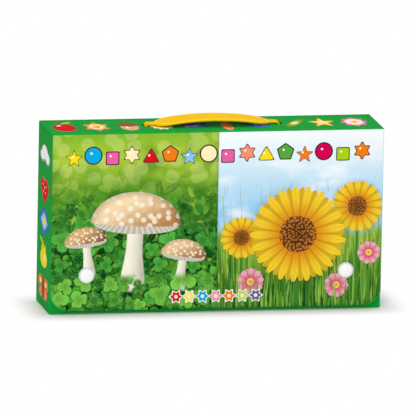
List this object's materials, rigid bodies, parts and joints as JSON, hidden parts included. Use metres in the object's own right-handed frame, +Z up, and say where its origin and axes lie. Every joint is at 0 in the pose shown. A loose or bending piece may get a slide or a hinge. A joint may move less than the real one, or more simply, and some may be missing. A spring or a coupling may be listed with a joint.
{
  "type": "card carry case with board books",
  "caption": "Flat card carry case for small board books, with a hinged lid and front flap closed by press studs, a strap handle on top and the books standing inside.",
  "frame": {"origin": "on the floor under the middle of the whole part", "axes": "+X to the right along the width, -Y out of the front flap, +Z up"},
  "size_m": [0.27, 0.0618, 0.1539],
  "materials": {
    "case_card": "gloss-laminated print",
    "flap_print": "gloss-laminated print",
    "strap_plastic": "moulded",
    "snap_plastic": "moulded",
    "page_board": "cut board edges",
    "cover_red": "gloss-laminated print",
    "cover_orange": "gloss-laminated print",
    "cover_tan": "gloss-laminated print",
    "cover_yellow": "gloss-laminated print",
    "cover_violet": "gloss-laminated print",
    "cover_rose": "gloss-laminated print",
    "cover_blue": "gloss-laminated print",
    "cover_olive": "gloss-laminated print",
    "cover_gold": "gloss-laminated print",
    "cover_pink": "gloss-laminated print"
  },
  "bodies": {
    "case": {"case_body": "case_card", "snap_stud_left": "snap_plastic", "snap_stud_right": "snap_plastic", "snap_back_cap_left": "snap_plastic", "snap_back_cap_right": "snap_plastic", "book_1_cover": "cover_red", "book_1_pages": "page_board", "book_2_cover": "cover_orange", "book_2_pages": "page_board", "book_3_cover": "cover_tan", "book_3_pages": "page_board", "book_4_cover": "cover_yellow", "book_4_pages": "page_board", "book_5_cover": "cover_violet", "book_5_pages": "page_board", "book_6_cover": "cover_rose", "book_6_pages": "page_board", "book_7_cover": "cover_blue", "book_7_pages": "page_board", "book_8_cover": "cover_olive", "book_8_pages": "page_board", "book_9_cover": "cover_gold", "book_9_pages": "page_board", "book_10_cover": "cover_pink", "book_10_pages": "page_board"},
    "lid": {"lid_panel": "case_card"},
    "flap": {"front_flap": "flap_print", "snap_cap_left": "snap_plastic", "snap_cap_right": "snap_plastic", "snap_socket_left": "snap_plastic", "snap_socket_right": "snap_plastic"},
    "handle": {"handle": "strap_plastic"}
  },
  "joints": [
    {"name": "lid_hinge", "type": "hinge", "parent": "case", "child": "lid", "pos_m": [0, 0.03031, 0.14641], "axis": [-1, 0, 0], "range_deg": [0, 170]},
    {"name": "flap_hinge", "type": "hinge", "parent": "lid", "child": "flap", "pos_m": [0, -0.02851, 0.14641], "axis": [-1, 0, 0], "range_deg": [0, 170]},
    {"name": "handle_lift", "type": "slide", "parent": "lid", "child": "handle", "axis": [0, 0, 1], "range_m": [0, 0.0058]}
  ]
}
